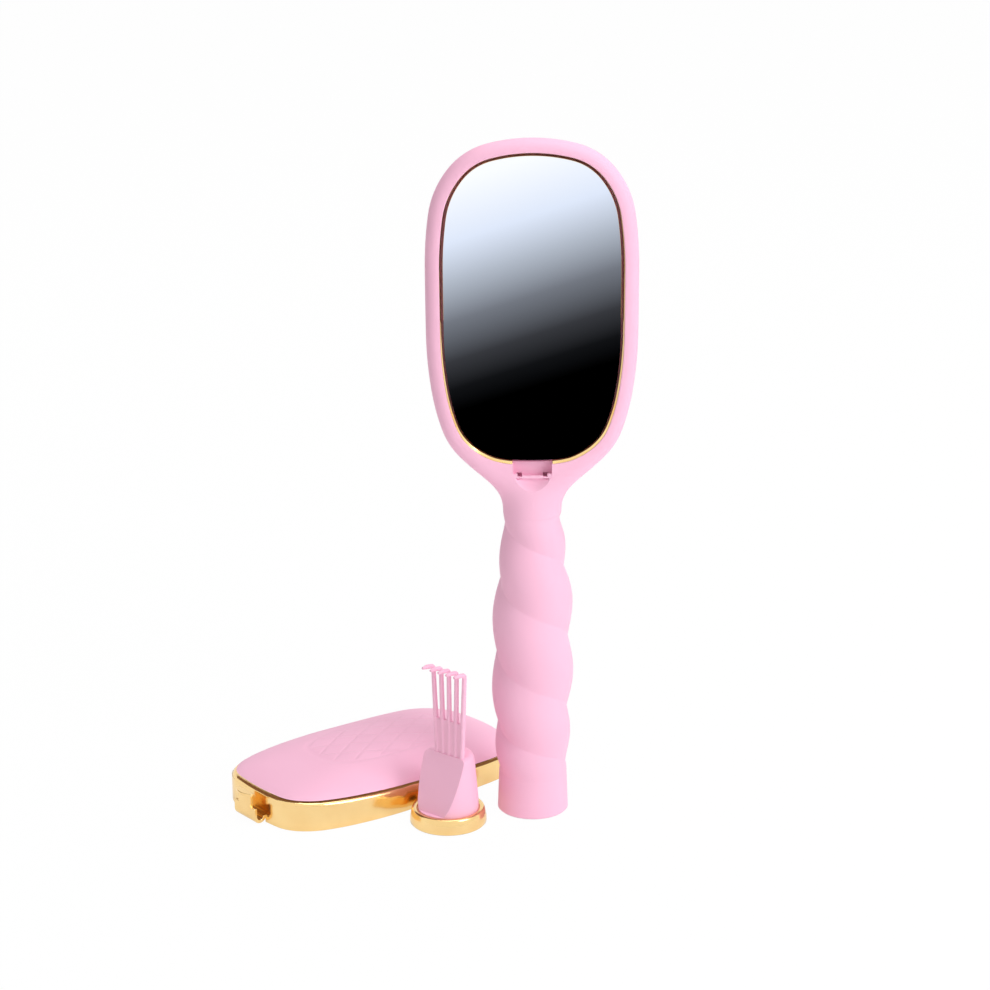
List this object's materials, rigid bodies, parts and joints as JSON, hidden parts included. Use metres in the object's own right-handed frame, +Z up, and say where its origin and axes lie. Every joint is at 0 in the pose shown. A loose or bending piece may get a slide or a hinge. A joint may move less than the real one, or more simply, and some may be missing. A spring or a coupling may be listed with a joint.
{
  "type": "hairbrush with mirror",
  "caption": "Oval paddle hairbrush with a twisted handle and a recessed mirror, a press-on domed mirror cover and a cleaning claw that stows in the handle.",
  "frame": {"origin": "centre of the claw socket's mouth, on the surface that the handle's foot stands on", "axes": "+Z up along the handle to the head's top, -Y out of the mirror, +Y out of the bristles"},
  "size_m": [0.14, 0.0956, 0.2365],
  "materials": {
    "soft_touch_pink": "soft-touch matt",
    "pink_pin": "satin moulded",
    "gold_plate": "polished plating",
    "mirror": "silvered glass",
    "cushion_rubber": "matt",
    "grip_rubber": "matt",
    "inner_plastic": "as moulded",
    "foam": "foam",
    "screw_steel": "zinc plated"
  },
  "bodies": {
    "brush": {"head_front_shell": "soft_touch_pink", "head_back_shell": "soft_touch_pink", "grip": "soft_touch_pink", "friction_ring": "grip_rubber", "socket_floor": "inner_plastic", "neck_tang": "inner_plastic", "tang_screw": "screw_steel", "shell_screws": "screw_steel", "mirror_bezel": "gold_plate", "mirror_glass": "mirror", "mirror_pad": "foam", "latch_keeper": "soft_touch_pink", "air_cushion": "cushion_rubber", "cushion_ring": "soft_touch_pink", "bristle_pins": "pink_pin"},
    "cover": {"cover_rim": "gold_plate", "cover_dome": "soft_touch_pink"},
    "latch": {"latch_finger": "gold_plate"},
    "claw": {"claw_ring": "gold_plate", "claw_plug": "soft_touch_pink", "claw_comb": "pink_pin"}
  },
  "joints": [
    {"name": "cover_lift", "type": "slide", "parent": "brush", "child": "cover", "axis": [0, 0, 1], "range_m": [0, 0.04]},
    {"name": "latch_press", "type": "hinge", "parent": "cover", "child": "latch", "pos_m": [-0.09746, -0.00903, 0.0025], "axis": [-0.6239, 0.7815, 0], "range_deg": [0, 14], "stiffness_Nm_per_rad": 0.4},
    {"name": "claw_lift", "type": "slide", "parent": "brush", "child": "claw", "axis": [0, 0, 1], "range_m": [0, 0.06]}
  ]
}
